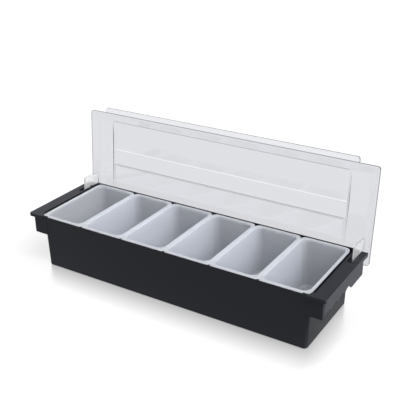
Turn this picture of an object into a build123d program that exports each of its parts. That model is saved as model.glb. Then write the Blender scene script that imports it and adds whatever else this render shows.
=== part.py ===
from build123d import *
import os
from math import cos, radians, sin, tan

# Garnish tray: a moulded housing with a hand grip at each end, six lift-out inserts in a row, and a
# clear lid whose two arms drop into slots in the end ledges and turn on pegs there.
# Millimetres. X runs along the tray, Y from the server's side to the hinge side, Z up. The origin is the
# centre of the tray's footprint, on the surface that it stands on. The lid is drawn open.

# Housing
tray_length = 495.0
tray_width = 145.6
tray_height = 86.0
end_ledge_length = 24.6
side_margin = 4.1
body_front_corner = 6.0
body_rear_corner = 8.0
body_draft_degrees = 0.8
foot_bevel = 1.2
wall = 2.4
floor_thickness = 3.0
seat_drop = 2.2
rear_lip = 2.1
groove_depth = 6.0
groove_corner = 3.0
rear_edge_radius = 1.0

# End ledges and the grips that hang from them
ledge_thickness = 5.0
ledge_overhang = 4.2
ledge_corner = 3.0
ledge_edge_bevel = 0.4
lip_taper = 11.0
grip_drop = 32.6
grip_corner = 3.5
grip_rear_inset = 8.9
scallop_count = 4
scallop_pitch = 22.4
scallop_radius = 14.0
scallop_rise = 7.5
scallop_start = 17.2

# Slots for the lid's arms
finger_width = 10.0
finger_outer_corner = 5.0
finger_inner_corner = 2.5
slot_width = 7.5
slot_end_radius = 2.0
nub_width = 3.0
nub_height = 4.5
nub_rear_inset = 15.8

# Inserts
insert_count = 6
insert_gap = 0.4
insert_floor_gap = 4.8
insert_draft_degrees = 2.3
insert_base = 1.6
insert_wall = 1.1
insert_foot_bevel = 3.9
rim_proud = 0.2
rim_edge_bevel = 0.5
rim_front_corner = 4.0
rim_rear_corner = 8.0
mouth_radius = 10.0
seat_clearance = 0.3
cup_clearance = 0.3
rim_clearance = 0.4

# Lid
lid_end_inset = 0.5
lid_front_inset = 4.15
lid_rear_overhang = 4.15
lid_thickness = 2.5
lid_corner = 4.5
lid_band = 3.0
lid_slope = 9.2
lid_rise = 3.5
lid_clearance = 0.9
lid_swing = 95.0
tongue_end_inset = 30.0
tongue_reach = 8.3
tongue_corner = 4.0
panel_end_inset = 41.0
panel_rear_inset = 16.0
panel_front_inset = 13.2
panel_corner = 5.0
ridge_from_rear = 84.5
ridge_height = 7.2
crease_from_rear = 59.5
crease_height = 5.3
dish_depth = 0.8
dish_end_inset = 3.0
dish_corner = 5.0

# Hinge
pivot_from_rear = 12.35
pivot_below_lid = 12.97
peg_radius = 3.0
peg_boss_radius = 5.5
peg_reach_past_arm = 0.5
hinge_clearance = 0.05
arm_thickness = 3.0
arm_side_gap = 0.3
arm_finger_gap = 0.8
arm_rear_inset = 3.0
arm_front_from_rear = 40.5
arm_drop = 34.0
arm_corner = 4.0
arm_neck = 3.0
arm_sweep_clearance = 0.4
lid_sweep_clearance = 0.4
cheek_front_reach = 10.0
stop_thickness = 3.0
stop_length = 5.0
stop_setback = 2.0
stop_clearance = 0.3
cut_overrun = 5.0

# Heights and places that follow from them
body_length = tray_length - 2 * end_ledge_length
body_width = tray_width - 2 * side_margin
body_end = body_length / 2
seat_height = tray_height - seat_drop
groove_floor = tray_height - groove_depth
ledge_underside = tray_height - ledge_thickness
grip_bottom = tray_height - grip_drop
rim_width = wall + cup_clearance + insert_wall
rim_bottom = seat_height + seat_clearance
rim_top = tray_height + rim_proud
insert_underside = floor_thickness + insert_floor_gap
insert_pitch = (body_length + insert_gap) / insert_count
insert_width = insert_pitch - insert_gap
front_face = -body_width / 2
groove_front = front_face + body_front_corner
tray_end = tray_length / 2
tray_rear = tray_width / 2
groove_rear = tray_rear - rear_lip
grip_end = tray_end - ledge_overhang
grip_rear = tray_rear - grip_rear_inset
slot_outer = tray_end - finger_width
slot_inner = slot_outer - slot_width
groove_end = slot_inner - wall
lid_length = tray_length - 2 * lid_end_inset
lid_rear = tray_rear + lid_rear_overhang
lid_front = -tray_rear + lid_front_inset
lid_depth = lid_rear - lid_front
lid_plane = rim_top + lid_clearance
pivot_y = lid_rear - pivot_from_rear
pivot_z = lid_plane - pivot_below_lid
arm_outer = slot_outer - arm_finger_gap
arm_inner = arm_outer - arm_thickness
arm_heel = pivot_from_rear - arm_rear_inset
arm_corner_reach = arm_front_from_rear - pivot_from_rear - arm_corner
arm_corner_fall = arm_drop - pivot_below_lid - arm_corner
arm_sweep = (arm_corner_reach**2 + arm_corner_fall**2) ** 0.5 + arm_corner
arm_sweep_at_ledge = (arm_sweep**2 - (ledge_underside - pivot_z) ** 2) ** 0.5
slot_front = pivot_y - arm_sweep_at_ledge - arm_sweep_clearance


def block(x_range, y_range, z_range):
    """Box between two values along each axis."""
    (x0, x1), (y0, y1), (z0, z1) = x_range, y_range, z_range
    corner = Pos((x0 + x1) / 2, (y0 + y1) / 2, (z0 + z1) / 2)
    return corner * Box(x1 - x0, y1 - y0, z1 - z0)


def rounded_plan(length, width, front_radius, rear_radius):
    """Rectangle with one corner radius at the front and another at the rear."""
    plan = Rectangle(length, width)
    plan = fillet(plan.vertices().sort_by(Axis.Y)[:2], front_radius)
    return fillet(plan.vertices().sort_by(Axis.Y)[-2:], rear_radius)


def upright_edges(part):
    """Edges that run up a block, from the front ones to the rear ones."""
    half_height = part.bounding_box().size.Z / 2
    return part.edges().filter_by(lambda e: e.bounding_box().size.Z > half_height).sort_by(Axis.Y)


def drafted_block(mouth_size, corner_radii, draft, bottom, top):
    """Block that narrows by its draft from its mouth to its foot, with its corners rounded."""
    length, width = mouth_size
    front_radius, rear_radius = corner_radii
    height = top - bottom
    narrowing = height * tan(radians(draft))
    part = Wedge(length, height, width, narrowing, narrowing, length - narrowing, width - narrowing)
    part = Pos(0, 0, (bottom + top) / 2) * Rot(-90, 0, 0) * part
    part = fillet(upright_edges(part)[:2], front_radius)
    return fillet(upright_edges(part)[-2:], rear_radius)


def both_ends(feature):
    """The feature at the right end and its mirror image at the left end."""
    return feature + mirror(feature, about=Plane.YZ)


def edges_at(part, axis, place, reach=0.01):
    """Edges of the part that lie at one place along an axis."""
    return part.edges().filter_by_position(axis, place - reach, place + reach)


def groove_surround():
    """Rim round the rear and the ends of the body, with the open groove inside it."""
    outer = block(
        (-slot_inner, slot_inner),
        (front_face, tray_rear),
        (groove_floor - wall, tray_height),
    )
    rear_top = edges_at(outer, Axis.Y, tray_rear).sort_by(Axis.Z)[-1]
    outer = fillet(rear_top, rear_edge_radius)
    plan = rounded_plan(2 * groove_end, groove_rear - groove_front, groove_corner, body_rear_corner)
    groove = Pos(0, (groove_rear + groove_front) / 2, groove_floor) * extrude(plan, groove_depth + cut_overrun)
    front_mouth = block(
        (-body_end, body_end),
        (front_face - cut_overrun, groove_front),
        (groove_floor, tray_height + cut_overrun),
    )
    return outer - groove - front_mouth


def ledge():
    """Right end ledge, with a lip round the corner insert and a slot for the lid's arm, open at the rear."""
    lip_start = body_end - lip_taper
    outline = Polyline(
        (lip_start, front_face),
        (body_end, -tray_rear),
        (tray_end, -tray_rear),
        (tray_end, tray_rear),
        (groove_end, tray_rear),
        (groove_end, groove_front),
        (lip_start, groove_front),
        close=True,
    )
    plan = make_face(outline)
    plan = fillet(plan.vertices().sort_by(Axis.X)[-2:].sort_by(Axis.Y)[0], ledge_corner)
    slot_length = tray_rear - slot_front + cut_overrun
    slot = Rectangle(slot_width, slot_length)
    slot = fillet(slot.vertices().sort_by(Axis.Y)[:2], slot_end_radius)
    plan -= Pos((slot_inner + slot_outer) / 2, slot_front + slot_length / 2) * slot
    plan = fillet(plan.vertices().group_by(Axis.Y)[-1].sort_by(Axis.X)[-1], finger_outer_corner)
    plan = fillet(plan.vertices().group_by(Axis.Y)[-1].sort_by(Axis.X)[-2], finger_inner_corner)
    plate = Pos(0, 0, ledge_underside) * extrude(plan, ledge_thickness)
    rim = edges_at(plate, Axis.Z, tray_height).filter_by(lambda e: e.center().X > slot_inner + slot_width / 2)
    return chamfer(rim, ledge_edge_bevel) - lid_sweep()


def lid_sweep():
    """Room that the lid's underside takes as it turns, behind the top of the right finger."""
    behind = block(
        (slot_outer - slot_width / 2, tray_end + cut_overrun),
        (pivot_y, tray_rear + cut_overrun),
        (ledge_underside, tray_height + cut_overrun),
    )
    turning = Pos(slot_outer, pivot_y, pivot_z) * Rot(0, 90, 0)
    return behind - turning * Cylinder(pivot_below_lid - lid_sweep_clearance, tray_length / 2)


def grip_outline(inset):
    """Plan of the grip, open to the rear, drawn inside its outer faces by the inset."""
    start = body_end - body_front_corner
    depth = grip_rear - front_face
    plan = Pos((start + grip_end - inset) / 2, front_face + inset + depth / 2) * Rectangle(
        grip_end - inset - start, depth
    )
    corner = plan.vertices().sort_by(Axis.Y)[:2].sort_by(Axis.X)[-1]
    return fillet(corner, grip_corner - inset)


def grip():
    """Wall that hangs from the right ledge, scalloped along its lower edge for the fingers."""
    height = ledge_underside - grip_bottom
    outer = Pos(0, 0, grip_bottom) * extrude(grip_outline(0), height)
    inner = Pos(0, 0, grip_bottom) * extrude(grip_outline(wall), height)
    shell = outer - inner
    for number in range(scallop_count):
        centre_y = -tray_rear + scallop_start + number * scallop_pitch
        centre_z = grip_bottom + scallop_rise - scallop_radius
        shell -= Pos(grip_end, centre_y, centre_z) * Rot(0, 90, 0) * Cylinder(scallop_radius, 4 * wall)
    return shell


def hinge_seat():
    """Cheek under the right ledge, with the peg for the lid's arm and the stop for the open lid."""
    cheek_bottom = pivot_z - arm_heel - stop_clearance - stop_thickness
    cheek = block(
        (slot_inner - wall, slot_inner),
        (pivot_y - cheek_front_reach, tray_rear - wall),
        (cheek_bottom, ledge_underside),
    )
    rib = block(
        (body_end - wall, slot_inner),
        (pivot_y - cheek_front_reach, pivot_y - cheek_front_reach + wall),
        (cheek_bottom, ledge_underside),
    )
    turned = Pos(0, pivot_y, pivot_z) * Rot(0, 90, 0)
    boss_length = arm_inner - arm_side_gap - slot_inner
    boss = turned * Pos(0, 0, slot_inner + boss_length / 2) * Cylinder(peg_boss_radius, boss_length)
    peg_length = arm_outer + peg_reach_past_arm - slot_inner
    peg = turned * Pos(0, 0, slot_inner + peg_length / 2) * Cylinder(peg_radius, peg_length)
    stop_top = -arm_heel - stop_clearance
    stop = block(
        (slot_inner - wall, arm_outer),
        (stop_setback, stop_setback + stop_length),
        (stop_top - stop_thickness, stop_top),
    )
    stop = Pos(0, pivot_y, pivot_z) * Rot(90 - lid_swing, 0, 0) * stop
    nub_y = tray_rear - nub_rear_inset
    nub = block(
        (slot_inner - wall, arm_inner - arm_side_gap),
        (nub_y - nub_width / 2, nub_y + nub_width / 2),
        (tray_height - nub_height, tray_height - ledge_edge_bevel),
    )
    return cheek + rib + boss + peg + stop + nub


def housing():
    """Housing, open at the top, with its ledges, grips and hinge pegs."""
    radii = (body_front_corner, body_rear_corner)
    body = drafted_block((body_length, body_width), radii, body_draft_degrees, 0, seat_height)
    body = chamfer(edges_at(body, Axis.Z, 0), foot_bevel)
    part = groove_surround() + body
    part += both_ends(ledge())
    part += both_ends(grip())
    recess = rounded_plan(
        body_length + 2 * rim_clearance,
        body_width + 2 * rim_clearance,
        rim_front_corner + rim_clearance,
        rim_rear_corner + rim_clearance,
    )
    part -= Pos(0, 0, seat_height) * extrude(recess, seat_drop + cut_overrun)
    inner_radii = [radius - wall for radius in radii]
    part -= drafted_block(
        (body_length - 2 * wall, body_width - 2 * wall),
        inner_radii,
        body_draft_degrees,
        floor_thickness,
        tray_height,
    )
    part += both_ends(hinge_seat())
    return part


def insert(number):
    """One lift-out cup; the number counts from the left end."""
    rim_plan = rounded_plan(insert_width, body_width, rim_front_corner, rim_rear_corner)
    rim = Pos(0, 0, rim_bottom) * extrude(rim_plan, rim_top - rim_bottom)
    space_size = (insert_width - 2 * rim_width, body_width - 2 * rim_width)
    cup_size = (size + 2 * insert_wall for size in space_size)
    cup_radius = mouth_radius + insert_wall
    cup = drafted_block(cup_size, (cup_radius, cup_radius), insert_draft_degrees, insert_underside, rim_top)
    space_floor = insert_underside + insert_base
    space = drafted_block(space_size, (mouth_radius, mouth_radius), insert_draft_degrees, space_floor, rim_top)
    space = chamfer(edges_at(space, Axis.Z, space_floor), insert_foot_bevel)
    part = rim + cup - space
    part = chamfer(edges_at(part, Axis.Z, rim_top), rim_edge_bevel)
    return Pos((number - (insert_count - 1) / 2) * insert_pitch, 0, 0) * part


def lid_outline(inset, height):
    """Plan of the lid's panel, drawn inside its edge by the inset."""
    place = Pos(0, (lid_rear + lid_front) / 2, height)
    return place * RectangleRounded(lid_length - 2 * inset, lid_depth - 2 * inset, lid_corner)


def lid_field(lift, inset):
    """Raised field of the lid: sloped border, and a panel that rises to a ridge and has a dished rear."""
    border = loft(
        [
            lid_outline(lid_band + inset, lid_plane + lift),
            lid_outline(lid_band + lid_slope + inset, lid_plane + lift + lid_rise),
        ],
        ruled=True,
    )
    level = lid_plane + lift
    panel_rear = lid_rear - panel_rear_inset - inset
    panel_front = lid_front + panel_front_inset + inset
    profile = Polyline(
        (0, panel_rear, level),
        (0, panel_rear, level + lid_rise),
        (0, lid_rear - crease_from_rear, level + crease_height),
        (0, lid_rear - ridge_from_rear, level + ridge_height),
        (0, panel_front, level + lid_rise),
        (0, panel_front, level),
        close=True,
    )
    length = lid_length - 2 * panel_end_inset - 2 * inset
    panel = extrude(make_face(profile), length / 2, dir=(1, 0, 0), both=True)
    plan = RectangleRounded(length, panel_rear - panel_front, panel_corner - inset)
    panel &= Pos(0, (panel_rear + panel_front) / 2, level) * extrude(plan, ridge_height)
    dish_front = lid_rear - crease_from_rear + inset
    dish_plan = rounded_plan(length - 2 * dish_end_inset, lid_rear - dish_front, dish_corner, dish_corner)
    dish = Pos(0, (lid_rear + dish_front) / 2, level) * extrude(dish_plan, ridge_height)
    return border + (panel - dish) + (Pos(0, 0, -dish_depth) * panel & dish)


def arm():
    """Right arm of the closed lid, bored for its peg."""
    rear = lid_rear - arm_rear_inset
    front = lid_rear - arm_front_from_rear
    foot = lid_plane - arm_drop
    neck_y = pivot_y - arm_neck
    heel = [
        (0, pivot_y + arm_heel, pivot_z),
        (0, pivot_y + arm_heel * cos(radians(45)), pivot_z - arm_heel * sin(radians(45))),
        (0, pivot_y, pivot_z - arm_heel),
    ]
    corner_y = front + arm_corner
    corner_z = foot + arm_corner
    turn = arm_corner * cos(radians(45))
    outline = [
        Line((0, rear, lid_plane + lid_thickness), heel[0]),
        ThreePointArc(*heel),
        Line(heel[2], (0, neck_y, foot)),
        Line((0, neck_y, foot), (0, corner_y, foot)),
        ThreePointArc((0, corner_y, foot), (0, corner_y - turn, corner_z - turn), (0, front, corner_z)),
        Line((0, front, corner_z), (0, front, lid_plane + lid_thickness)),
        Line((0, front, lid_plane + lid_thickness), (0, rear, lid_plane + lid_thickness)),
    ]
    plate = Pos(arm_inner, 0, 0) * extrude(make_face(outline), arm_thickness, dir=(1, 0, 0))
    bore_place = Pos((arm_inner + arm_outer) / 2, pivot_y, pivot_z) * Rot(0, 90, 0)
    return plate - bore_place * Cylinder(peg_radius + hinge_clearance, arm_thickness + cut_overrun)


def lid():
    """Clear lid, built closed and turned open about its pegs."""
    panel = extrude(lid_outline(0, lid_plane), lid_thickness)
    tongue_plan = Rectangle(lid_length - 2 * tongue_end_inset, 2 * tongue_reach)
    tongue_plan = fillet(tongue_plan.vertices().sort_by(Axis.Y)[:2], tongue_corner)
    panel += Pos(0, lid_front, lid_plane) * extrude(tongue_plan, lid_thickness)
    part = panel + lid_field(lid_thickness, 0)
    part += both_ends(arm())
    part -= lid_field(0, lid_thickness / 2)
    to_pivot = Pos(0, pivot_y, pivot_z)
    return to_pivot * Rot(-lid_swing, 0, 0) * to_pivot.inverse() * part


os.makedirs("parts", exist_ok=True)
export_step(housing(), "parts/housing.step")
export_step(lid(), "parts/lid.step")
for number in range(insert_count):
    export_step(insert(number), f"parts/insert_{number + 1}.step")
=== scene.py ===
from math import pi, radians

import bpy
from mathutils import Matrix, Vector

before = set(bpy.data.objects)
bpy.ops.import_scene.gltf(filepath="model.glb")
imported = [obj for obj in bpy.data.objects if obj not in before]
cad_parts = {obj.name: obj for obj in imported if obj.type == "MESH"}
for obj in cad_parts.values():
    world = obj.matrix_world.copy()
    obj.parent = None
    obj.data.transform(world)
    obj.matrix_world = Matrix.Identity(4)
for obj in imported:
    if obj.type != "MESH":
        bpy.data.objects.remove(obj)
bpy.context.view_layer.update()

MM = 0.001

# Camera, from the photograph's perspective: its place in metres, its lens and sensor in millimetres
CAMERA_PLACE = (0.53619, -0.80488, 0.58114)
CAMERA_TURN_DEGREES = (64.476, 0.583, 31.609)
CAMERA_LENS = 63.84
SENSOR_WIDTH = 36.0
CAMERA_CLIP_START = 0.01

# Housing: black ABS, with a painted sheen that makes the grips' end faces paler. Roughness runs between two
# values
BLACK_ABS = "#24262c"
PAINTED_SHEEN_ABS = "#4b4e55"
PAINTED_SHEEN_SHARE = (0.8, 1.0)
ABS_IOR = 1.54
ABS_SPECULAR_LEVEL = 0.14
ABS_ROUGHNESS = (0.36, 0.46)

# Inserts: milky polypropylene. The share of the light that comes through it is its translucence
MILKY_PP = "#eff1f5"
PP_FROM_BEHIND = "#f2f4f8"
PP_TRANSLUCENCE = 0.58
PP_IOR = 1.49
PP_ROUGHNESS = (0.38, 0.5)

# Lid: clear acrylic. The tongue is painted lighter, painted shade lines mark the moulded steps and the
# sheet's edge, a painted highlight marks the ridge, the panel's end walls are painted lighter and the arms
# are frosted white
CLEAR_ACRYLIC = "#dddee2"
TONGUE_PAINTED_LIGHTER_AND_LAMP_TINT = "#e9eaed"
SMOKE_IN_ACRYLIC = "#d9dbde"
SMOKE_DENSITY = 50.0
PAINTED_STEP_SHADE = "#9b9da2"
PAINTED_EDGE_SHADE = "#74767c"
PAINTED_HIGHLIGHT_AND_FROST_WHITE = "#ffffff"
ACRYLIC_IOR = 1.49
POLISHED_ROUGHNESS = 0.06
PANEL_WALL_ROUGHNESS = 0.6
ARM_FROST = 0.4

# Clouds in a roughness: their size in millimetres
ABS_CLOUDS = 28
PP_CLOUDS = 20

# Bumps: their size in millimetres, their strength, and their depth in millimetres. The grain is coarser
# than a real mould's, so that it shows
ABS_GRAIN = (0.9, 0.25, 0.05)
PP_GRAIN = (1.2, 0.15, 0.04)
ACRYLIC_FLOW = (30, 0.025, 0.1)

# Noise behind the clouds and the bumps: most of its values lie in its middle
NOISE_DETAIL = 2.0
NOISE_MIDDLE = (0.3, 0.7)

# Lid, in millimetres, as it lies closed: its sheet is a rectangle with rounded corners
LID_PIVOT = (0, 64.6, 74.13)
LID_SWING_DEGREES = 95
LID_MIDDLE = (0, 4.15)
LID_HALF_SIZES = (247, 72.8)
LID_CORNER = 4.5
SHEET_FRONT = -68.65
PANEL_FRONT = -55.45
CREASE_PLACE = 17.45
RIDGE_PLACE = -7.55
PANEL_REACH = 203
PANEL_END = 210
ARM_INNER_FACE = 233
ARM_TOP = 86

# Painted shade and highlight lines on the lid, in millimetres: how far from its middle each fades out
PAINTED_LINE_REACH = 0.9
RIDGE_REACH = 1.0

# Grips, in millimetres: their outer faces are past this
GRIP_FACE = 241

# A face looks to an end if this much of its normal points there
FACING_END = 0.5

# Floor, in millimetres: paper that glows, with a polish round the tray's foot. The polish fades sooner past
# the ends
WHITE = "#ffffff"
FLOOR_PAPER = "#a8a8a8"
FLOOR_SIZE = 6000
FLOOR_DROP = 0.2
FLOOR_OWN_GLOW = 0.65
FLOOR_GLOW_IN_GLOSS = 0.2
FLOOR_POLISH = 0.44
FLOOR_POLISH_ROUGHNESS = 0.25
POLISH_REACH = 50
FOOT_HALF_SIZES = (222.9, 68.7)
PAST_END_FACTOR = 1.6

# Studio: a lamp has the side it shines from, how many degrees wide it looks, and its level
WORLD_STRENGTH = 0.5
LAMPS = {
    "overhead": ((0.1, -0.1, 1.0), 70, 0.12),
    "right_side": ((1.0, -0.15, 1.1), 50, 0.65),
}


def linear(hex_colour):
    """An sRGB hex colour as the linear RGBA that shaders take."""
    channels = [int(hex_colour[i : i + 2], 16) / 255 for i in (1, 3, 5)]
    return [c / 12.92 if c <= 0.04045 else ((c + 0.055) / 1.055) ** 2.4 for c in channels] + [1.0]


def add_node(tree, kind, settings=None, links=None):
    """Adds a node, with its properties and socket values, and links other nodes' outputs into it."""
    node = tree.nodes.new(kind)
    for name, value in (settings or {}).items():
        if isinstance(name, str) and hasattr(node, name):
            setattr(node, name, value)
        else:
            node.inputs[name].default_value = value
    for name, output in (links or {}).items():
        tree.links.new(output, node.inputs[name])
    return node


def new_material(name):
    """An empty node material, its node tree and its output node."""
    material = bpy.data.materials.new(name)
    material.use_nodes = True
    tree = material.node_tree
    tree.nodes.clear()
    return material, tree, add_node(tree, "ShaderNodeOutputMaterial")


def clouded(tree, size_mm, low, high):
    """A number that wanders between two values, in clouds of about the given size."""
    place = add_node(tree, "ShaderNodeTexCoord").outputs["Object"]
    settings = {"Scale": 1 / (size_mm * MM), "Detail": NOISE_DETAIL}
    clouds = add_node(tree, "ShaderNodeTexNoise", settings, {"Vector": place}).outputs["Fac"]
    settings = {"From Min": NOISE_MIDDLE[0], "From Max": NOISE_MIDDLE[1], "To Min": low, "To Max": high}
    return add_node(tree, "ShaderNodeMapRange", settings, {"Value": clouds}).outputs["Result"]


def moulded_surface(tree, size_mm, strength, depth_mm):
    """The normal of a surface with low bumps of about the given size, as the mould leaves them."""
    place = add_node(tree, "ShaderNodeTexCoord").outputs["Object"]
    settings = {"Scale": 1 / (size_mm * MM), "Detail": NOISE_DETAIL}
    bumps = add_node(tree, "ShaderNodeTexNoise", settings, {"Vector": place}).outputs["Fac"]
    settings = {"Strength": strength, "Distance": depth_mm * MM}
    return add_node(tree, "ShaderNodeBump", settings, {"Height": bumps}).outputs["Normal"]


def sideways(tree, vector):
    """How far a vector reaches to the left or to the right."""
    along = add_node(tree, "ShaderNodeSeparateXYZ", None, {0: vector}).outputs["X"]
    return add_node(tree, "ShaderNodeMath", {"operation": "ABSOLUTE"}, {0: along}).outputs[0]


def where(tree, *tests):
    """1 where every test holds. A test is a value, how it compares, and what with."""
    mask = None
    for value, comparison, limit in tests:
        settings = {"operation": comparison, 1: limit}
        holds = add_node(tree, "ShaderNodeMath", settings, {0: value}).outputs[0]
        if mask is None:
            mask = holds
        else:
            links = {0: mask, 1: holds}
            mask = add_node(tree, "ShaderNodeMath", {"operation": "MULTIPLY"}, links).outputs[0]
    return mask


def faces_an_end(tree):
    """The test for the faces that look to the left or to the right."""
    normal = add_node(tree, "ShaderNodeTexCoord").outputs["Normal"]
    return sideways(tree, normal), "GREATER_THAN", FACING_END


def tinted(tree, plain, zones):
    """A colour that takes a zone's own tint where the zone's mask is 1, later zones over earlier ones."""
    colour = None
    for mask, tint in zones:
        settings = {"data_type": "RGBA", 7: linear(tint)}
        links = {0: mask}
        if colour is None:
            settings[6] = linear(plain)
        else:
            links[6] = colour
        colour = add_node(tree, "ShaderNodeMix", settings, links).outputs[2]
    return colour


def outside_rectangle(tree, place, middle_mm, half_sizes_mm, end_factor=1.0):
    """How far a point is outside a level rectangle, with the way past its ends counted times a factor."""
    steps = [
        ("SUBTRACT", [c * MM for c in (*middle_mm, 0)]),
        ("ABSOLUTE", None),
        ("SUBTRACT", [c * MM for c in (*half_sizes_mm, 0)]),
        ("MAXIMUM", (0, 0, 0)),
        ("MULTIPLY", (end_factor, 1, 0)),
    ]
    for operation, other in steps:
        settings = {"operation": operation}
        if other is not None:
            settings[1] = other
        place = add_node(tree, "ShaderNodeVectorMath", settings, {0: place}).outputs["Vector"]
    return add_node(tree, "ShaderNodeVectorMath", {"operation": "LENGTH"}, {0: place}).outputs["Value"]


def fine_line(tree, length, place_mm, reach_mm):
    """1 where a length has one value, falling smoothly to 0 at a reach from there."""
    settings = {"operation": "SUBTRACT", 1: place_mm * MM}
    away = add_node(tree, "ShaderNodeMath", settings, {0: length}).outputs[0]
    distance = add_node(tree, "ShaderNodeMath", {"operation": "ABSOLUTE"}, {0: away}).outputs[0]
    settings = {"interpolation_type": "SMOOTHSTEP", "From Max": reach_mm * MM, "To Min": 1.0, "To Max": 0.0}
    return add_node(tree, "ShaderNodeMapRange", settings, {"Value": distance}).outputs["Result"]


def moulded_abs():
    """ABS, injection moulded in a lightly textured tool: a soft satin, with a painted sheen that makes the
    grips' end faces paler.
    """
    material, tree, output = new_material("black_moulded_abs")
    place = add_node(tree, "ShaderNodeTexCoord").outputs["Object"]
    # Painted sheen: the grips' end faces are painted paler, in clouds, standing in for the light that falls
    # on them
    grip = where(tree, faces_an_end(tree), (sideways(tree, place), "GREATER_THAN", GRIP_FACE * MM))
    share = clouded(tree, ABS_CLOUDS, *PAINTED_SHEEN_SHARE)
    painted_sheen = add_node(tree, "ShaderNodeMath", {"operation": "MULTIPLY"}, {0: grip, 1: share}).outputs[0]
    settings = {"IOR": ABS_IOR, "Specular IOR Level": ABS_SPECULAR_LEVEL}
    links = {
        "Base Color": tinted(tree, BLACK_ABS, [(painted_sheen, PAINTED_SHEEN_ABS)]),
        "Roughness": clouded(tree, ABS_CLOUDS, *ABS_ROUGHNESS),
        "Normal": moulded_surface(tree, *ABS_GRAIN),
    }
    shader = add_node(tree, "ShaderNodeBsdfPrincipled", settings, links)
    tree.links.new(shader.outputs["BSDF"], output.inputs["Surface"])
    return material


def moulded_polypropylene():
    """Polypropylene, injection moulded: milky, so thin walls let light through, with a waxy sheen."""
    material, tree, output = new_material("light_grey_moulded_polypropylene")
    settings = {"Base Color": linear(MILKY_PP), "IOR": PP_IOR}
    links = {
        "Roughness": clouded(tree, PP_CLOUDS, *PP_ROUGHNESS),
        "Normal": moulded_surface(tree, *PP_GRAIN),
    }
    shader = add_node(tree, "ShaderNodeBsdfPrincipled", settings, links)
    through = add_node(tree, "ShaderNodeBsdfTranslucent", {"Color": linear(PP_FROM_BEHIND)})
    links = {1: shader.outputs["BSDF"], 2: through.outputs["BSDF"]}
    milky = add_node(tree, "ShaderNodeMixShader", {0: PP_TRANSLUCENCE}, links)
    tree.links.new(milky.outputs["Shader"], output.inputs["Surface"])
    return material


def closed_lid_place(tree):
    """Where a point of the lid is when the lid lies closed, from where it is drawn."""
    pivot = Vector(LID_PIVOT) * MM
    swing = Matrix.Rotation(radians(LID_SWING_DEGREES), 3, "X")
    place = add_node(tree, "ShaderNodeTexCoord").outputs["Object"]
    settings = {"Rotation": swing.to_euler(), "Location": pivot - swing @ pivot}
    return add_node(tree, "ShaderNodeMapping", settings, {"Vector": place}).outputs["Vector"]


def line_on_panel(tree, place, place_mm, reach_mm):
    """1 on a line along the closed lid's raised panel, at one place from front to back."""
    depth = add_node(tree, "ShaderNodeSeparateXYZ", None, {0: place}).outputs["Y"]
    line = fine_line(tree, depth, place_mm, reach_mm)
    on_panel = where(tree, (sideways(tree, place), "LESS_THAN", PANEL_REACH * MM))
    return add_node(tree, "ShaderNodeMath", {"operation": "MULTIPLY"}, {0: line, 1: on_panel}).outputs[0]


def clear_acrylic():
    """Acrylic, moulded in a polished tool: clear, with a tongue painted lighter, painted shade on its
    moulded steps and edge, a painted highlight on its ridge, and faint flow marks.
    """
    material, tree, output = new_material("clear_moulded_acrylic")
    place = closed_lid_place(tree)
    across = sideways(tree, place)
    along = add_node(tree, "ShaderNodeSeparateXYZ", None, {0: place})
    from_core = outside_rectangle(tree, place, LID_MIDDLE, [size - LID_CORNER for size in LID_HALF_SIZES])
    tongue = where(tree, (along.outputs["Y"], "LESS_THAN", SHEET_FRONT * MM))
    panel_walls = where(tree, faces_an_end(tree), (across, "LESS_THAN", PANEL_END * MM))
    arms = where(
        tree,
        (across, "GREATER_THAN", ARM_INNER_FACE * MM),
        (along.outputs["Z"], "LESS_THAN", ARM_TOP * MM),
    )
    # Painted light and shade: the tongue is painted lighter, the dark lines on the panel's steps and along
    # the sheet's edge are painted shade, the white line on the ridge and the panel's end walls are painted
    # light, and the arms are frosted white
    zones = [
        (tongue, TONGUE_PAINTED_LIGHTER_AND_LAMP_TINT),
        (line_on_panel(tree, place, PANEL_FRONT, PAINTED_LINE_REACH), PAINTED_STEP_SHADE),
        (line_on_panel(tree, place, CREASE_PLACE, PAINTED_LINE_REACH), PAINTED_STEP_SHADE),
        (line_on_panel(tree, place, RIDGE_PLACE, RIDGE_REACH), PAINTED_HIGHLIGHT_AND_FROST_WHITE),
        (fine_line(tree, from_core, LID_CORNER, PAINTED_LINE_REACH), PAINTED_EDGE_SHADE),
        (panel_walls, PAINTED_HIGHLIGHT_AND_FROST_WHITE),
        (arms, PAINTED_HIGHLIGHT_AND_FROST_WHITE),
    ]
    settings = {"To Min": POLISHED_ROUGHNESS, "To Max": PANEL_WALL_ROUGHNESS}
    roughness = add_node(tree, "ShaderNodeMapRange", settings, {"Value": panel_walls})
    settings = {"To Min": 1.0, "To Max": 1.0 - ARM_FROST}
    clearness = add_node(tree, "ShaderNodeMapRange", settings, {"Value": arms})
    links = {
        "Normal": moulded_surface(tree, *ACRYLIC_FLOW),
        "Roughness": roughness.outputs["Result"],
        "Base Color": tinted(tree, CLEAR_ACRYLIC, zones),
        "Transmission Weight": clearness.outputs["Result"],
    }
    shader = add_node(tree, "ShaderNodeBsdfPrincipled", {"IOR": ACRYLIC_IOR}, links)

    # The lamps' light goes straight through, so that what is under the lid is lit
    lets_through = add_node(tree, "ShaderNodeBsdfTransparent", {"Color": linear(TONGUE_PAINTED_LIGHTER_AND_LAMP_TINT)})
    links = {
        0: add_node(tree, "ShaderNodeLightPath").outputs["Is Shadow Ray"],
        1: shader.outputs["BSDF"],
        2: lets_through.outputs["BSDF"],
    }
    clear = add_node(tree, "ShaderNodeMixShader", None, links)
    tree.links.new(clear.outputs["Shader"], output.inputs["Surface"])
    settings = {"Color": linear(SMOKE_IN_ACRYLIC), "Density": SMOKE_DENSITY}
    smoke = add_node(tree, "ShaderNodeVolumeAbsorption", settings)
    tree.links.new(smoke.outputs["Volume"], output.inputs["Volume"])
    return material


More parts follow.
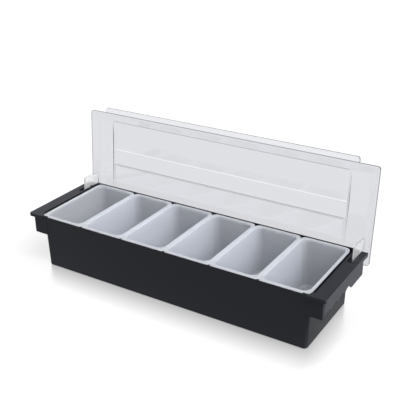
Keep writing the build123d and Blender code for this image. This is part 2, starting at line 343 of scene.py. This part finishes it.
def finish_node(name, material):
    """Gives every material slot of a CAD node one finish."""
    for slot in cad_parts[name].material_slots:
        slot.material = material


def seen_directly(tree):
    """1 for rays that show the background: straight to the camera, mirrored or through the lid."""
    path = add_node(tree, "ShaderNodeLightPath")
    shown = path.outputs["Is Camera Ray"]
    for ray in ("Is Glossy Ray", "Is Transmission Ray"):
        links = {0: shown, 1: path.outputs[ray]}
        shown = add_node(tree, "ShaderNodeMath", {"operation": "MAXIMUM"}, links).outputs[0]
    return shown


def floor_glow(tree):
    """How strongly the floor glows: less where it is mirrored, so that the tray's gloss stays dark."""
    path = add_node(tree, "ShaderNodeLightPath")
    settings = {"operation": "SUBTRACT", "use_clamp": True}
    links = {0: path.outputs["Is Glossy Ray"], 1: path.outputs["Is Transmission Ray"]}
    mirrored = add_node(tree, "ShaderNodeMath", settings, links).outputs[0]
    settings = {"operation": "MULTIPLY", 1: FLOOR_OWN_GLOW}
    shown = add_node(tree, "ShaderNodeMath", settings, {0: seen_directly(tree)}).outputs[0]
    settings = {"operation": "MULTIPLY", 1: FLOOR_OWN_GLOW - FLOOR_GLOW_IN_GLOSS}
    hidden = add_node(tree, "ShaderNodeMath", settings, {0: mirrored}).outputs[0]
    return add_node(tree, "ShaderNodeMath", {"operation": "SUBTRACT"}, {0: shown, 1: hidden}).outputs[0]


def white_floor():
    """Floor that shows white, keeps the soft shadow and mirrors the tray's foot a little."""
    bpy.ops.mesh.primitive_plane_add(size=FLOOR_SIZE * MM, location=(0, 0, -FLOOR_DROP * MM))
    floor = bpy.context.object
    floor.name = "floor"
    material, tree, output = new_material("white_paper")
    paper = add_node(tree, "ShaderNodeBsdfDiffuse", {"Color": linear(FLOOR_PAPER)})
    glow = add_node(tree, "ShaderNodeEmission", {"Color": linear(WHITE)}, {"Strength": floor_glow(tree)})
    links = {0: paper.outputs["BSDF"], 1: glow.outputs["Emission"]}
    glowing = add_node(tree, "ShaderNodeAddShader", None, links)
    settings = {"Color": linear(WHITE), "Roughness": FLOOR_POLISH_ROUGHNESS}
    polish = add_node(tree, "ShaderNodeBsdfGlossy", settings)
    place = add_node(tree, "ShaderNodeTexCoord").outputs["Object"]
    from_foot = outside_rectangle(tree, place, (0, 0), FOOT_HALF_SIZES, PAST_END_FACTOR)
    settings = {"From Max": POLISH_REACH * MM, "To Min": FLOOR_POLISH, "To Max": 0.0}
    amount = add_node(tree, "ShaderNodeMapRange", settings, {"Value": from_foot})
    links = {
        0: amount.outputs["Result"],
        1: glowing.outputs["Shader"],
        2: polish.outputs["BSDF"],
    }
    coated = add_node(tree, "ShaderNodeMixShader", None, links)
    tree.links.new(coated.outputs["Shader"], output.inputs["Surface"])
    floor.data.materials.append(material)


def white_world():
    """White surroundings that fill the shadows and show as the background."""
    world = bpy.data.worlds.new("white_studio")
    bpy.context.scene.world = world
    world.use_nodes = True
    tree = world.node_tree
    tree.nodes.clear()
    output = add_node(tree, "ShaderNodeOutputWorld")
    fill = add_node(tree, "ShaderNodeBackground", {"Color": linear(WHITE), "Strength": WORLD_STRENGTH})
    shown = add_node(tree, "ShaderNodeBackground", {"Color": linear(WHITE), "Strength": 1.0})
    links = {
        0: seen_directly(tree),
        1: fill.outputs["Background"],
        2: shown.outputs["Background"],
    }
    mix = add_node(tree, "ShaderNodeMixShader", None, links)
    tree.links.new(mix.outputs["Shader"], output.inputs["Surface"])


def soft_light(name, side, width_degrees, level):
    """Large soft lamp far off on one side of the tray, shining on it from there."""
    lamp = bpy.data.lights.new(name, "SUN")
    lamp.angle = radians(width_degrees)
    lamp.energy = level * pi
    holder = bpy.data.objects.new(name, lamp)
    bpy.context.collection.objects.link(holder)
    holder.rotation_euler = Vector(side).to_track_quat("Z", "Y").to_euler()


def camera():
    """Camera at the photograph's viewing angle."""
    data = bpy.data.cameras.new("camera")
    data.lens = CAMERA_LENS
    data.sensor_width = SENSOR_WIDTH
    data.clip_start = CAMERA_CLIP_START
    holder = bpy.data.objects.new("camera", data)
    bpy.context.collection.objects.link(holder)
    holder.location = CAMERA_PLACE
    holder.rotation_euler = [radians(a) for a in CAMERA_TURN_DEGREES]
    bpy.context.scene.camera = holder


finish_node("housing", moulded_abs())
finish_node("lid", clear_acrylic())
cup_material = moulded_polypropylene()
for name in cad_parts:
    if name.startswith("insert_"):
        finish_node(name, cup_material)

white_floor()
white_world()
for name, (side, width_degrees, level) in LAMPS.items():
    soft_light(name, side, width_degrees, level)
camera()

bpy.context.scene.view_settings.view_transform = "Standard"
